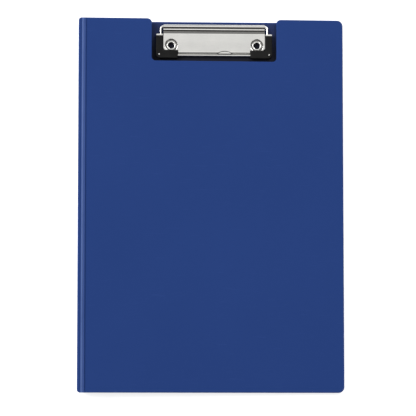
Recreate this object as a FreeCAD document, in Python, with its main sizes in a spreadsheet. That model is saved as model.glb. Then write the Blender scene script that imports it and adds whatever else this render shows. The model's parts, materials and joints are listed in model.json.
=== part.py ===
import FreeCAD, Part
import math
import os
import Sketcher

# Fold-over A4 clipboard, closed and lying on its back. +Z points out of the front
# cover, +Y towards the clip, and -X is the spine. The origin is under the middle of
# the closed folder, on the surface it lies on. All sizes are in millimetres.

DIMENSIONS = {
    # outline of the closed folder
    "cover_wide": 227.1,
    "cover_long": 320.0,
    "spine_tall": 12.4,
    "back_inset_end": 2.0,
    "back_inset_side": 1.5,
    # layers of the two laminated covers
    "skin_thick": 0.5,
    "lining_thick": 0.4,
    "back_core_thick": 2.0,
    "front_core_thick": 1.1,
    "spine_core_thick": 0.7,
    "weld_rim": 1.0,
    "fold_round": 0.8,
    # flexible strip beside each crease
    "strip_wide": 6.4,
    "strip_thick": 0.9,
    "groove_wide": 0.7,
    "groove_deep": 0.35,
    "bead_radius": 0.5,
    "bead_proud": 0.3,
    "bead_first": 1.9,
    "bead_pitch": 1.95,
    # running room at the creases and under the free edge
    "crease_gap": 0.05,
    "spine_end_gap": 1.1,
    "spine_inset": 2.5,
    "rest_gap": 0.3,
    # corners
    "corner_free": 5.0,
    "corner_fold": 2.5,
    "corner_tab": 3.9,
    "corner_notch": 3.2,
    # cut-out in the front cover for the clip
    "clip_shift": 2.65,
    "notch_wide": 107.0,
    "notch_deep": 36.5,
    # clip plate: across its rolled edge, and heights above the board
    "rivet_line": 137.6,
    "rivet_gap": 73.6,
    "plate_wide": 87.0,
    "plate_thick": 0.5,
    "field_top": 3.3,
    "field_back": 9.7,
    "valley_end": 13.0,
    "slope_set": 0.2,
    "tongue_wide": 61.6,
    "shoulder_front": -4.35,
    "tongue_front": -7.3,
    "lip_low": 0.2,
    "bend_radius": 1.5,
    "dimple_rim": 5.1,
    "dimple_wall": 0.25,
    "dimple_floor": 4.3,
    # hinge of the wire bow, inside the rolled edge
    "axle_line": 16.2,
    "axle_high": 2.25,
    "wire_radius": 1.0,
    "roll_play": 0.08,
    "leg_line": 45.8,
    "bar_line": -8.7,
    "shoulder_bend": 2.4,
    "corner_bend": 2.0,
    # moulded grips on the corners of the bow
    "grip_inner": 43.75,
    "grip_outer": 49.9,
    "grip_toe": 31.1,
    "grip_low": -11.6,
    "grip_ledge": -4.6,
    "grip_top": 8.2,
    "grip_thick": 4.4,
    "grip_corner": 3.5,
    "grip_round": 0.9,
    "grip_edge": 0.7,
    "collar_inner": 44.2,
    "collar_outer": 49.6,
    "collar_top": 9.5,
    "collar_thick": 3.8,
    "collar_round": 0.5,
    "eye_radius": 0.6,
    "eye_across": 47.2,
    "eye_along": -8.3,
    "pin_proud": 0.15,
    # half-moon gusset pressed out of the tongue's bend
    "moon_shift": 9.1,
    "moon_half": 6.4,
    "moon_rise": 2.0,
    "moon_proud": 0.3,
    # hollow rivets and the washers sunk into the back of the board
    "bore_radius": 2.65,
    "barrel_radius": 2.95,
    "rivet_hole": 3.05,
    "flange_radius": 4.15,
    "flange_thick": 0.5,
    "flange_slope": 0.15,
    "bore_lead": 0.4,
    "bore_drop": 0.4,
    "flare_radius": 4.1,
    "flare_thick": 0.35,
    "washer_radius": 5.0,
    "washer_thick": 0.4,
    "recess_radius": 5.2,
    # clear pocket inside the front cover
    "pocket_thick": 0.3,
    "pocket_start": 14.0,
    "pocket_end": 205.0,
    "pocket_low": -152.0,
    "pocket_top": 20.0,
}

# Layer sums that several pieces share, as expressions on the sheet.
BACK_THICK = "(dims.skin_thick + dims.back_core_thick + dims.lining_thick)"
FRONT_THICK = "(dims.skin_thick + dims.front_core_thick + dims.lining_thick)"
SPINE_THICK = "(dims.skin_thick + dims.spine_core_thick + dims.lining_thick)"
PANEL_START = "(dims.strip_wide + dims.groove_wide)"
CORE_START = "(dims.strip_wide + dims.groove_wide + dims.weld_rim)"
BACK_HALF = "(dims.cover_long / 2 - dims.back_inset_end)"
BACK_END = "(dims.cover_wide - dims.back_inset_side)"
HALF_LONG = "(dims.cover_long / 2)"
CLIP_X = "(dims.cover_wide / 2 + dims.clip_shift)"
CLIP_PLACE = ("dims.clip_shift", "dims.rivet_line", BACK_THICK)

doc = FreeCAD.newDocument("fold_over_clipboard")


def make_sheet():
    """Put every driving dimension in its own named cell."""
    sheet = doc.addObject("Spreadsheet::Sheet", "dims")
    for row, (alias, value) in enumerate(DIMENSIONS.items(), start=1):
        sheet.set(f"A{row}", alias)
        sheet.set(f"B{row}", str(value))
        sheet.setAlias(f"B{row}", alias)
    doc.recompute()
    return sheet


sheet = make_sheet()


def value_of(expression):
    """Number that an expression on the sheet gives."""
    return float(sheet.evalExpression(expression.replace("dims.", "")))


def new_body(name):
    body = doc.addObject("PartDesign::Body", name)
    body.Label = name
    return body


def new_sketch(body, name, role="XY_Plane", lift="0"):
    """Sketch on one of the body's origin planes, lifted along its normal."""
    sketch = body.newObject("Sketcher::SketchObject", name)
    plane = next(item for item in body.Origin.OriginFeatures if item.Role == role)
    sketch.AttachmentSupport = [(plane, "")]
    sketch.MapMode = "FlatFace"
    sketch.setExpression("AttachmentOffset.Base.z", lift)
    return sketch


def pin_point(sketch, geometry, point, across, along):
    """Hold one point at the distances that two expressions give from the origin."""
    for kind, expression in (("DistanceX", across), ("DistanceY", along)):
        distance = value_of(expression)
        index = sketch.addConstraint(Sketcher.Constraint(kind, -1, 1, geometry, point, distance))
        sketch.setExpression(f"Constraints[{index}]", expression)


def add_polygon(sketch, corners):
    """Closed outline through corners given as pairs of expressions."""
    points = [FreeCAD.Vector(value_of(x), value_of(y), 0) for x, y in corners]
    first = sketch.GeometryCount
    for start, end in zip(points, points[1:] + points[:1]):
        sketch.addGeometry(Part.LineSegment(start, end), False)
    count = len(corners)
    for index in range(count):
        following = first + (index + 1) % count
        sketch.addConstraint(Sketcher.Constraint("Coincident", first + index, 2, following, 1))
    for index, (across, along) in enumerate(corners):
        pin_point(sketch, first + index, 1, across, along)


def add_circle(sketch, across, along, radius):
    """Circle whose centre and radius follow the sheet."""
    centre = FreeCAD.Vector(value_of(across), value_of(along), 0)
    circle = Part.Circle(centre, FreeCAD.Vector(0, 0, 1), value_of(radius))
    index = sketch.addGeometry(circle, False)
    pin_point(sketch, index, 3, across, along)
    size = sketch.addConstraint(Sketcher.Constraint("Radius", index, value_of(radius)))
    sketch.setExpression(f"Constraints[{size}]", radius)


def rectangle(left, low, right, high):
    return [(left, low), (right, low), (right, high), (left, high)]


def notched(left, low, right, high, notch_left, notch_right, notch_floor):
    """Rectangle with a slot let into its upper side."""
    return [
        (left, low), (right, low), (right, high), (notch_right, high),
        (notch_right, notch_floor), (notch_left, notch_floor), (notch_left, high), (left, high),
    ]


def pad(body, sketch, name, length, down=False, middle=False):
    feature = body.newObject("PartDesign::Pad", name)
    feature.Profile = sketch
    feature.setExpression("Length", length)
    feature.Reversed = down
    feature.Midplane = middle
    doc.recompute()
    return feature


def pocket(body, sketch, name, length, up=False, middle=False):
    """Cut the sketch's outline out of the body, and make sure that it cuts."""
    before = body.Shape.Volume
    feature = body.newObject("PartDesign::Pocket", name)
    feature.Profile = sketch
    feature.setExpression("Length", length)
    feature.Reversed = up
    feature.Midplane = middle
    doc.recompute()
    if body.Shape.Volume > before - 1e-3:
        raise RuntimeError(f"{name} cuts nothing")
    return feature


def revolve(body, sketch, name, axis="V_Axis"):
    """Turn the sketch a full turn about its own upright axis, or about a line in it."""
    feature = body.newObject("PartDesign::Revolution", name)
    feature.Profile = sketch
    feature.ReferenceAxis = (sketch, [axis])
    feature.Angle = 360
    doc.recompute()
    return feature


def edge_names(shape, wanted):
    """Names of the edges that a test on the edge accepts."""
    return [f"Edge{n}" for n, edge in enumerate(shape.Edges, start=1) if wanted(edge)]


def runs_along(edge, axis):
    """True for a straight edge parallel to an axis."""
    if not isinstance(edge.Curve, Part.Line):
        return False
    direction = edge.Curve.Direction
    return abs(abs(direction.dot(axis)) - 1) < 1e-6


def round_edges(body, name, radius, wanted):
    """Fillet the edges of the body's last feature that pass a test."""
    base = body.Tip
    feature = body.newObject("PartDesign::Fillet", name)
    feature.Base = (base, edge_names(base.Shape, wanted))
    feature.setExpression("Radius", radius)
    doc.recompute()
    return feature


def round_corners(body, name, radius, corners):
    """Fillet the upright edges that stand at the given (x, y) expressions."""
    spots = [(value_of(x), value_of(y)) for x, y in corners]

    def wanted(edge):
        if not runs_along(edge, FreeCAD.Vector(0, 0, 1)):
            return False
        at = edge.CenterOfMass
        return any(math.hypot(at.x - x, at.y - y) < 1e-3 for x, y in spots)

    return round_edges(body, name, radius, wanted)


def round_outline(body, name):
    """Fillet a cover's outer face from its fold edge, on round every tangent corner."""
    fold = value_of("dims.crease_gap")

    def wanted(edge):
        at = edge.CenterOfMass
        on_face = abs(at.z) < 1e-6 and all(abs(v.Z) < 1e-6 for v in edge.Vertexes)
        return on_face and runs_along(edge, FreeCAD.Vector(0, 1, 0)) and abs(at.x - fold) < 1e-3

    return round_edges(body, name, "dims.fold_round", wanted)


# ---------------------------------------------------------------- cover outlines

def front_outline(inset, left):
    """Front cover seen from outside, drawn in by an inset, with its left side given."""
    end = f"(dims.cover_wide - {inset})"
    side = f"({HALF_LONG} - {inset})"
    notch_left = f"({CLIP_X} - dims.notch_wide / 2 - {inset})"
    notch_right = f"({CLIP_X} + dims.notch_wide / 2 + {inset})"
    floor = f"({HALF_LONG} - dims.notch_deep - {inset})"
    return notched(left, f"-{side}", end, side, notch_left, notch_right, floor)


def round_front(body, inset, fold_corners):
    """Round the front cover's corners; an inset outline has smaller outer corners."""
    outline = front_outline(inset, "dims.crease_gap" if fold_corners else CORE_START)
    name = body.Name
    free, tabs, notch, fold = outline[1:3], outline[3:7:3], outline[4:6], outline[0:8:7]
    round_corners(body, f"{name}_free_corners", f"dims.corner_free - {inset}", free)
    round_corners(body, f"{name}_tab_corners", f"dims.corner_tab - {inset}", tabs)
    round_corners(body, f"{name}_notch_corners", f"dims.corner_notch + {inset}", notch)
    if fold_corners:
        round_corners(body, f"{name}_fold_corners", "dims.corner_fold", fold)


def back_outline(inset, left):
    end = f"({BACK_END} - {inset})"
    side = f"({BACK_HALF} - {inset})"
    return rectangle(left, f"-{side}", end, side)


def round_back(body, inset, fold_corners):
    outline = back_outline(inset, "dims.crease_gap")
    name = body.Name
    round_corners(body, f"{name}_free_corners", f"dims.corner_free - {inset}", outline[1:3])
    if fold_corners:
        round_corners(body, f"{name}_fold_corners", "dims.corner_fold", outline[0:4:3])


# ---------------------------------------------------------------- rear cover

def rivet_circles(sketch, radius):
    """One circle on each rivet, in the rear cover's own frame."""
    for sign in ("-", "+"):
        add_circle(sketch, f"({CLIP_X} {sign} dims.rivet_gap / 2)", "dims.rivet_line", radius)


def back_skin():
    """Blue outer sheet: a shallow tray whose rim is welded round the board."""
    body = new_body("back_skin")
    outline = new_sketch(body, "back_skin_outline")
    add_polygon(outline, back_outline("0", "dims.crease_gap"))
    pad(body, outline, "back_skin_block", BACK_THICK)
    strip = new_sketch(body, "back_skin_strip", lift=BACK_THICK)
    add_polygon(strip, rectangle("0", f"-{HALF_LONG}", PANEL_START, HALF_LONG))
    pocket(body, strip, "back_skin_thin_strip", f"{BACK_THICK} - dims.strip_thick")
    tray = new_sketch(body, "back_skin_tray_outline", lift=BACK_THICK)
    add_polygon(tray, back_outline("dims.weld_rim", CORE_START))
    pocket(body, tray, "back_skin_tray", f"{BACK_THICK} - dims.skin_thick")
    free = back_outline("dims.weld_rim", CORE_START)[1:3]
    round_corners(body, "back_skin_tray_corners", "dims.corner_free - dims.weld_rim", free)
    round_back(body, "0", True)
    round_outline(body, "back_skin_outer_edge")
    groove = new_sketch(body, "back_skin_groove_outline")
    add_polygon(groove, rectangle("dims.strip_wide", f"-{HALF_LONG}", PANEL_START, HALF_LONG))
    pocket(body, groove, "back_skin_groove", "dims.groove_deep", up=True)
    return body


def back_board():
    """Stiff board between the rear sheets, counterbored for the rivet washers."""
    body = new_body("back_board")
    outline = new_sketch(body, "back_board_outline", lift="dims.skin_thick")
    add_polygon(outline, back_outline("dims.weld_rim", CORE_START))
    pad(body, outline, "back_board_block", "dims.back_core_thick")
    round_back(body, "dims.weld_rim", False)
    sinks = new_sketch(body, "back_board_sink_circles", lift="dims.skin_thick")
    rivet_circles(sinks, "dims.recess_radius")
    pocket(body, sinks, "back_board_sinks", "dims.flare_thick + dims.washer_thick", up=True)
    holes = new_sketch(body, "back_board_hole_circles")
    rivet_circles(holes, "dims.rivet_hole")
    pocket(body, holes, "back_board_holes", BACK_THICK, up=True)
    return body


def back_lining():
    """Dark inner sheet that the paper lies on."""
    body = new_body("back_lining")
    outline = new_sketch(body, "back_lining_outline", lift="dims.skin_thick + dims.back_core_thick")
    add_polygon(outline, back_outline("dims.weld_rim", CORE_START))
    pad(body, outline, "back_lining_sheet", "dims.lining_thick")
    round_back(body, "dims.weld_rim", False)
    holes = new_sketch(body, "back_lining_hole_circles")
    rivet_circles(holes, "dims.rivet_hole")
    pocket(body, holes, "back_lining_holes", BACK_THICK, up=True)
    return body


# ---------------------------------------------------------------- front cover
# The front cover is drawn flat with its outer face on z = 0 and its crease on x = 0.

def front_skin():
    """Blue outer sheet with the cut-out for the clip and the ribbed crease strip."""
    body = new_body("front_skin")
    outline = new_sketch(body, "front_skin_outline")
    add_polygon(outline, front_outline("0", "dims.crease_gap"))
    pad(body, outline, "front_skin_block", FRONT_THICK, down=True)
    strip = new_sketch(body, "front_skin_strip", lift=f"-{FRONT_THICK}")
    add_polygon(strip, rectangle("0", f"-{HALF_LONG}", PANEL_START, HALF_LONG))
    pocket(body, strip, "front_skin_thin_strip", f"{FRONT_THICK} - dims.strip_thick", up=True)
    tray = new_sketch(body, "front_skin_tray_outline", lift=f"-{FRONT_THICK}")
    inner = front_outline("dims.weld_rim", CORE_START)
    add_polygon(tray, inner)
    pocket(body, tray, "front_skin_tray", f"{FRONT_THICK} - dims.skin_thick", up=True)
    round_corners(body, "front_skin_tray_free", "dims.corner_free - dims.weld_rim", inner[1:3])
    round_corners(body, "front_skin_tray_tabs", "dims.corner_tab - dims.weld_rim", [inner[3], inner[6]])
    round_corners(body, "front_skin_tray_notch", "dims.corner_notch + dims.weld_rim", inner[4:6])
    round_front(body, "0", True)
    round_outline(body, "front_skin_outer_edge")
    groove = new_sketch(body, "front_skin_groove_outline")
    add_polygon(groove, rectangle("dims.strip_wide", f"-{HALF_LONG}", PANEL_START, HALF_LONG))
    pocket(body, groove, "front_skin_groove", "dims.groove_deep")
    beads = new_sketch(body, "front_skin_bead_circles", role="XZ_Plane")
    for number in range(3):
        across = f"(dims.bead_first + {number} * dims.bead_pitch)"
        add_circle(beads, across, "(dims.bead_proud - dims.bead_radius)", "dims.bead_radius")
    pad(body, beads, "front_skin_beads", f"2 * ({HALF_LONG} - dims.corner_fold)", middle=True)
    return body


def front_sheet(name, top, thickness):
    """Layer that fills the front cover's tray, from a depth below its outer face."""
    body = new_body(name)
    outline = new_sketch(body, f"{name}_outline", lift=f"-({top})")
    add_polygon(outline, front_outline("dims.weld_rim", CORE_START))
    pad(body, outline, f"{name}_sheet", thickness, down=True)
    round_front(body, "dims.weld_rim", False)
    return body


def inner_pocket():
    """Clear pocket welded to the inside of the front cover."""
    body = new_body("inner_pocket")
    outline = new_sketch(body, "inner_pocket_outline", lift=f"-{FRONT_THICK}")
    add_polygon(outline, rectangle("dims.pocket_start", "dims.pocket_low",
                                   "dims.pocket_end", "dims.pocket_top"))
    pad(body, outline, "inner_pocket_sheet", "dims.pocket_thick", down=True)
    corners = rectangle("dims.pocket_start", "dims.pocket_low", "dims.pocket_end", "dims.pocket_top")
    round_corners(body, "inner_pocket_corners", "dims.corner_fold", corners)
    return body


# ---------------------------------------------------------------- spine
# The spine is an upright wall with its outer face on x = 0 and its foot on z = 0.

def spine_wall(name, start, thickness, inset):
    """Upright strip of the spine between two depths behind its outer face."""
    body = new_body(name)
    outline = new_sketch(body, f"{name}_outline", role="YZ_Plane", lift=start)
    side = f"({HALF_LONG} - dims.spine_inset - {inset})"
    foot = f"(dims.spine_end_gap + {inset})"
    head = f"(dims.spine_tall - dims.spine_end_gap - {inset})"
    add_polygon(outline, rectangle(f"-{side}", foot, side, head))
    pad(body, outline, f"{name}_wall", thickness)
    return body


def spine_skin():
    """Blue outer sheet of the spine, a tray for the spine's own strip of board."""
    body = spine_wall("spine_skin", "0", SPINE_THICK, "0")
    tray = new_sketch(body, "spine_skin_tray_outline", role="YZ_Plane", lift=SPINE_THICK)
    side = f"({HALF_LONG} - dims.spine_inset - dims.weld_rim)"
    foot = "(dims.spine_end_gap + dims.weld_rim)"
    head = "(dims.spine_tall - dims.spine_end_gap - dims.weld_rim)"
    add_polygon(tray, rectangle(f"-{side}", foot, side, head))
    pocket(body, tray, "spine_skin_tray", f"{SPINE_THICK} - dims.skin_thick")
    return body


# ---------------------------------------------------------------- clip
# The clip's frame stands on the board, midway between the two rivets.

def plate_section():
    """Section of the plate from the bottom of the roll to the foot of the tongue."""
    roll_low = "(dims.axle_high - dims.wire_radius - dims.roll_play - dims.plate_thick)"
    roll_high = "(dims.axle_high - dims.wire_radius - dims.roll_play)"
    under = "(dims.field_top - dims.plate_thick)"
    inside = "(dims.tongue_front + dims.plate_thick)"
    return [
        ("dims.axle_line", roll_low),
        ("dims.axle_line", roll_high),
        ("dims.valley_end", roll_high),
        ("dims.field_back", "dims.field_top"),
        ("dims.tongue_front", "dims.field_top"),
        ("dims.tongue_front", "dims.lip_low"),
        (inside, "dims.lip_low"),
        (inside, under),
        ("(dims.field_back - dims.slope_set)", under),
        ("(dims.valley_end - dims.slope_set)", roll_low),
    ]


def clip_plate():
    """Sprung steel plate: rolled edge, raised field, two dimples and a bent tongue."""
    body = new_body("clip_plate")
    section = new_sketch(body, "clip_plate_section", role="YZ_Plane")
    add_polygon(section, plate_section())
    pad(body, section, "clip_plate_bent_sheet", "dims.plate_wide", middle=True)
    along = FreeCAD.Vector(1, 0, 0)
    top = value_of("dims.field_top")
    outer_bends = [(value_of("dims.field_back"), top), (value_of("dims.tongue_front"), top)]

    def is_outer_bend(edge):
        at = edge.CenterOfMass
        return runs_along(edge, along) and any(
            math.hypot(at.y - y, at.z - z) < 1e-3 for y, z in outer_bends)

    round_edges(body, "clip_plate_bends", "dims.bend_radius", is_outer_bend)
    roll = new_sketch(body, "clip_plate_roll_circles", role="YZ_Plane")
    add_circle(roll, "dims.axle_line", "dims.axle_high",
               "(dims.wire_radius + dims.roll_play + dims.plate_thick)")
    pad(body, roll, "clip_plate_roll", "dims.plate_wide", middle=True)
    bore = new_sketch(body, "clip_plate_bore_circle", role="YZ_Plane")
    add_circle(bore, "dims.axle_line", "dims.axle_high", "(dims.wire_radius + dims.roll_play)")
    pocket(body, bore, "clip_plate_bore", "dims.plate_wide + 2", middle=True)
    add_dimples(body)
    add_shoulders(body)
    add_half_moon(body)
    return body


def add_dimples(body):
    """Press a round dimple down to the board at each rivet, with the rivet's hole."""
    openings = new_sketch(body, "clip_plate_dimple_circles", lift="dims.field_top")
    holes = new_sketch(body, "clip_plate_hole_circles", lift="dims.field_top")
    for sign in ("-", "+"):
        centre = f"({sign}dims.rivet_gap / 2)"
        add_circle(openings, centre, "0", "dims.dimple_rim")
        add_circle(holes, centre, "0", "dims.rivet_hole")
    pocket(body, openings, "clip_plate_dimple_openings", "2 * dims.plate_thick")
    for name, sign in (("left", "-"), ("right", "+")):
        add_cup(body, name, sign)
    pocket(body, holes, "clip_plate_rivet_holes", "dims.field_top")


def add_cup(body, name, sign):
    """Dished wall and flat floor of one dimple, turned about the rivet's axis."""
    section = new_sketch(body, f"clip_plate_cup_{name}", role="XZ_Plane")
    middle = f"({sign}dims.rivet_gap / 2)"
    profile = [
        (middle, "0"),
        (f"({middle} + dims.dimple_floor)", "0"),
        (f"({middle} + dims.dimple_rim + dims.dimple_wall)", "(dims.field_top - dims.plate_thick)"),
        (f"({middle} + dims.dimple_rim + dims.dimple_wall)", "dims.field_top"),
        (f"({middle} + dims.dimple_rim - dims.dimple_wall)", "dims.field_top"),
        (f"({middle} + dims.dimple_floor)", "dims.plate_thick"),
        (middle, "dims.plate_thick"),
    ]
    add_polygon(section, profile)
    at = value_of(middle)
    top = value_of("dims.field_top")
    axis = Part.LineSegment(FreeCAD.Vector(at, 0, 0), FreeCAD.Vector(at, top, 0))
    line = section.addGeometry(axis, True)
    pin_point(section, line, 1, middle, "0")
    pin_point(section, line, 2, middle, "dims.field_top")
    revolve(body, section, f"clip_plate_dimple_{name}", "Axis0")


def add_shoulders(body):
    """Cut the front corners back beside the tongue, where the grips lie."""
    cut = new_sketch(body, "clip_plate_shoulder_outlines", lift="dims.field_top")
    for sign in ("-", "+"):
        inner = f"({sign}dims.tongue_wide / 2)"
        outer = f"({sign}(dims.plate_wide / 2 + 1))"
        low = "(dims.tongue_front - 1)"
        add_polygon(cut, rectangle(inner, low, outer, "dims.shoulder_front"))
    pocket(body, cut, "clip_plate_shoulders", "dims.field_top + 1")


def add_half_moon(body):
    """Half-moon gusset that fills a stretch of the tongue's bend."""
    moon = new_sketch(body, "clip_plate_moon_outline", lift="dims.field_top - dims.bend_radius")
    half = value_of("dims.moon_half")
    rise = value_of("dims.moon_rise")
    middle = value_of("dims.moon_shift")
    radius = (half ** 2 + rise ** 2) / (2 * rise)
    chord = value_of("dims.tongue_front")
    centre = FreeCAD.Vector(middle, chord + rise - radius, 0)
    spread = math.asin(half / radius)
    circle = Part.Circle(centre, FreeCAD.Vector(0, 0, 1), radius)
    arc = moon.addGeometry(
        Part.ArcOfCircle(circle, math.pi / 2 - spread, math.pi / 2 + spread), False)
    left = FreeCAD.Vector(middle - half, chord, 0)
    right = FreeCAD.Vector(middle + half, chord, 0)
    line = moon.addGeometry(Part.LineSegment(left, right), False)
    moon.addConstraint(Sketcher.Constraint("Coincident", arc, 2, line, 1))
    moon.addConstraint(Sketcher.Constraint("Coincident", arc, 1, line, 2))
    pin_point(moon, line, 1, "(dims.moon_shift - dims.moon_half)", "dims.tongue_front")
    pin_point(moon, line, 2, "(dims.moon_shift + dims.moon_half)", "dims.tongue_front")
    size = moon.addConstraint(Sketcher.Constraint("Radius", arc, radius))
    through_ends = "(dims.moon_half ^ 2 + dims.moon_rise ^ 2) / (2 * dims.moon_rise)"
    moon.setExpression(f"Constraints[{size}]", through_ends)
    pad(body, moon, "clip_plate_moon", "dims.bend_radius + dims.moon_proud")


def wire_bow():
    """Spring-wire bow: axle in the roll, two legs and the bar that holds the paper."""
    body = new_body("wire_bow")
    path = new_sketch(body, "wire_bow_path", lift="dims.axle_high")
    axle = value_of("dims.axle_line")
    leg = value_of("dims.leg_line")
    bar = value_of("dims.bar_line")
    top = value_of("dims.shoulder_bend")
    low = value_of("dims.corner_bend")
    up = FreeCAD.Vector(0, 0, 1)
    parts = [
        Part.LineSegment(FreeCAD.Vector(0, axle, 0), FreeCAD.Vector(leg - top, axle, 0)),
        Part.ArcOfCircle(Part.Circle(FreeCAD.Vector(leg - top, axle - top, 0), up, top), 0, math.pi / 2),
        Part.LineSegment(FreeCAD.Vector(leg, axle - top, 0), FreeCAD.Vector(leg, bar + low, 0)),
        Part.ArcOfCircle(Part.Circle(FreeCAD.Vector(leg - low, bar + low, 0), up, low), -math.pi / 2, 0),
        Part.LineSegment(FreeCAD.Vector(leg - low, bar, 0), FreeCAD.Vector(0, bar, 0)),
    ]
    for part in parts:
        path.addGeometry(part, False)
    for first, first_end, second, second_end in ((0, 2, 1, 2), (1, 1, 2, 1), (2, 2, 3, 2), (3, 1, 4, 1)):
        path.addConstraint(Sketcher.Constraint("Tangent", first, first_end, second, second_end))
    path.addConstraint(Sketcher.Constraint("Horizontal", 0))
    path.addConstraint(Sketcher.Constraint("Vertical", 2))
    path.addConstraint(Sketcher.Constraint("Horizontal", 4))
    pin_point(path, 0, 1, "0", "dims.axle_line")
    pin_point(path, 4, 2, "0", "dims.bar_line")
    for kind, geometry, alias in (("Radius", 1, "shoulder_bend"), ("Radius", 3, "corner_bend")):
        index = path.addConstraint(Sketcher.Constraint(kind, geometry, value_of(f"dims.{alias}")))
        path.setExpression(f"Constraints[{index}]", f"dims.{alias}")
    across = path.addConstraint(Sketcher.Constraint("DistanceX", -1, 1, 2, 1, leg))
    path.setExpression(f"Constraints[{across}]", "dims.leg_line")
    section = new_sketch(body, "wire_bow_section", role="YZ_Plane")
    add_circle(section, "dims.axle_line", "dims.axle_high", "dims.wire_radius")
    half = body.newObject("PartDesign::AdditivePipe", "wire_bow_half")
    half.Profile = section
    half.Spine = path
    doc.recompute()
    both = body.newObject("PartDesign::Mirrored", "wire_bow_both")
    both.Originals = [half]
    plane = next(item for item in body.Origin.OriginFeatures if item.Role == "YZ_Plane")
    both.MirrorPlane = (plane, [""])
    body.Tip = both
    doc.recompute()
    return body


def corner_grip(name, sign, bow):
    """Moulded corner that encloses the placed wire, with a small eye over the bend."""
    blank = new_body(f"{name}_blank")
    place(blank, *CLIP_PLACE)
    low = "(dims.axle_high - dims.grip_thick / 2)"
    outline = new_sketch(blank, f"{name}_outline", lift=low)
    corners = [
        (f"({sign}dims.grip_outer)", "dims.grip_low"),
        (f"({sign}dims.grip_outer)", "dims.grip_top"),
        (f"({sign}dims.grip_inner)", "dims.grip_top"),
        (f"({sign}dims.grip_inner)", "dims.grip_ledge"),
        (f"({sign}dims.grip_toe)", "dims.grip_ledge"),
        (f"({sign}dims.grip_toe)", "dims.grip_low"),
    ]
    add_polygon(outline, corners)
    pad(blank, outline, f"{name}_block", "dims.grip_thick")
    round_corners(blank, f"{name}_corner", "dims.grip_corner", corners[:1])
    round_corners(blank, f"{name}_rounds", "dims.grip_round", corners[1:])
    heights = [value_of(low), value_of(f"{low} + dims.grip_thick")]

    def on_a_face(edge):
        return any(abs(v.Z - h) < 1e-3 for h in heights for v in edge.Vertexes[:1]) and (
            abs(edge.Vertexes[0].Z - edge.Vertexes[-1].Z) < 1e-6)

    round_edges(blank, f"{name}_edges", "dims.grip_edge", on_a_face)
    eye = new_sketch(blank, f"{name}_eye_circle", lift=f"{low} + dims.grip_thick")
    add_circle(eye, f"({sign}dims.eye_across)", "dims.eye_along", "dims.eye_radius")
    pocket(blank, eye, f"{name}_eye", "dims.grip_thick / 2")
    return around_wire(name, blank, bow)


def steel_collar(name, sign, bow):
    """Pressed steel collar on the leg of the bow, at the upper end of a grip."""
    blank = new_body(f"{name}_blank")
    place(blank, *CLIP_PLACE)
    outline = new_sketch(blank, f"{name}_outline", lift="(dims.axle_high - dims.collar_thick / 2)")
    inner = f"({sign}dims.collar_inner)"
    outer = f"({sign}dims.collar_outer)"
    corners = rectangle(inner, "dims.grip_top", outer, "dims.collar_top")
    add_polygon(outline, corners)
    pad(blank, outline, f"{name}_block", "dims.collar_thick")
    round_corners(blank, f"{name}_corners", "dims.collar_round", corners[2:])
    return around_wire(name, blank, bow)


def grip_pin(name, sign, bow):
    """Small steel pin that fills a grip's eye beside the bend of the wire."""
    blank = new_body(f"{name}_blank")
    place(blank, *CLIP_PLACE)
    outline = new_sketch(blank, f"{name}_circle", lift="dims.axle_high")
    add_circle(outline, f"({sign}dims.eye_across)", "dims.eye_along", "dims.eye_radius")
    pad(blank, outline, f"{name}_stem", "dims.grip_thick / 2 + dims.pin_proud")
    top = value_of("dims.axle_high + dims.grip_thick / 2 + dims.pin_proud")
    round_edges(blank, f"{name}_head", "dims.pin_proud", lambda edge: edge.CenterOfMass.z > top - 1e-3)
    return around_wire(name, blank, bow)


def around_wire(name, blank, bow):
    """The blank with the wire's own channel through it."""
    part = doc.addObject("Part::Cut", name)
    part.Label = name
    part.Base = blank
    part.Tool = bow
    doc.recompute()
    return part


# ---------------------------------------------------------------- rivets
# A rivet's frame stands on its axis at the level of the rear cover's outer face. Its
# flared foot and its washer are sunk into the board, and the blue sheet covers them.

def hollow_rivet(name):
    """Eyelet with a rolled flange on the plate and a flared end behind the board."""
    body = new_body(name)
    section = new_sketch(body, f"{name}_section", role="XZ_Plane")
    flange_low = f"({BACK_THICK} + dims.plate_thick)"
    flange_high = f"({flange_low} + dims.flange_thick)"
    flare_high = "(dims.skin_thick + dims.flare_thick)"
    add_polygon(section, [
        ("dims.bore_radius", "dims.skin_thick"),
        ("dims.flare_radius", "dims.skin_thick"),
        ("dims.flare_radius", flare_high),
        ("dims.barrel_radius", flare_high),
        ("dims.barrel_radius", flange_low),
        ("dims.flange_radius", flange_low),
        ("(dims.flange_radius - dims.flange_slope)", flange_high),
        ("(dims.bore_radius + dims.bore_lead)", flange_high),
        ("dims.bore_radius", f"({flange_high} - dims.bore_drop)"),
    ])
    revolve(body, section, f"{name}_turned")
    return body


def rivet_washer(name):
    """Flat steel washer between a rivet's flared end and the board."""
    body = new_body(name)
    section = new_sketch(body, f"{name}_section", role="XZ_Plane")
    low = "(dims.skin_thick + dims.flare_thick)"
    high = f"({low} + dims.washer_thick)"
    add_polygon(section, rectangle("dims.rivet_hole", low, "dims.washer_radius", high))
    revolve(body, section, f"{name}_turned")
    return body


# ---------------------------------------------------------------- assembly

def place(part, x, y, z, tilt="0"):
    """Move a finished part to its place; a tilt lowers its +X side."""
    part.Placement = FreeCAD.Placement(
        FreeCAD.Vector(0, 0, 0), FreeCAD.Rotation(FreeCAD.Vector(0, 1, 0), 0))
    part.setExpression("Placement.Base.x", x)
    part.setExpression("Placement.Base.y", y)
    part.setExpression("Placement.Base.z", z)
    part.setExpression("Placement.Rotation.Axis.y", "1")
    part.setExpression("Placement.Rotation.Angle", tilt)


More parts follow.
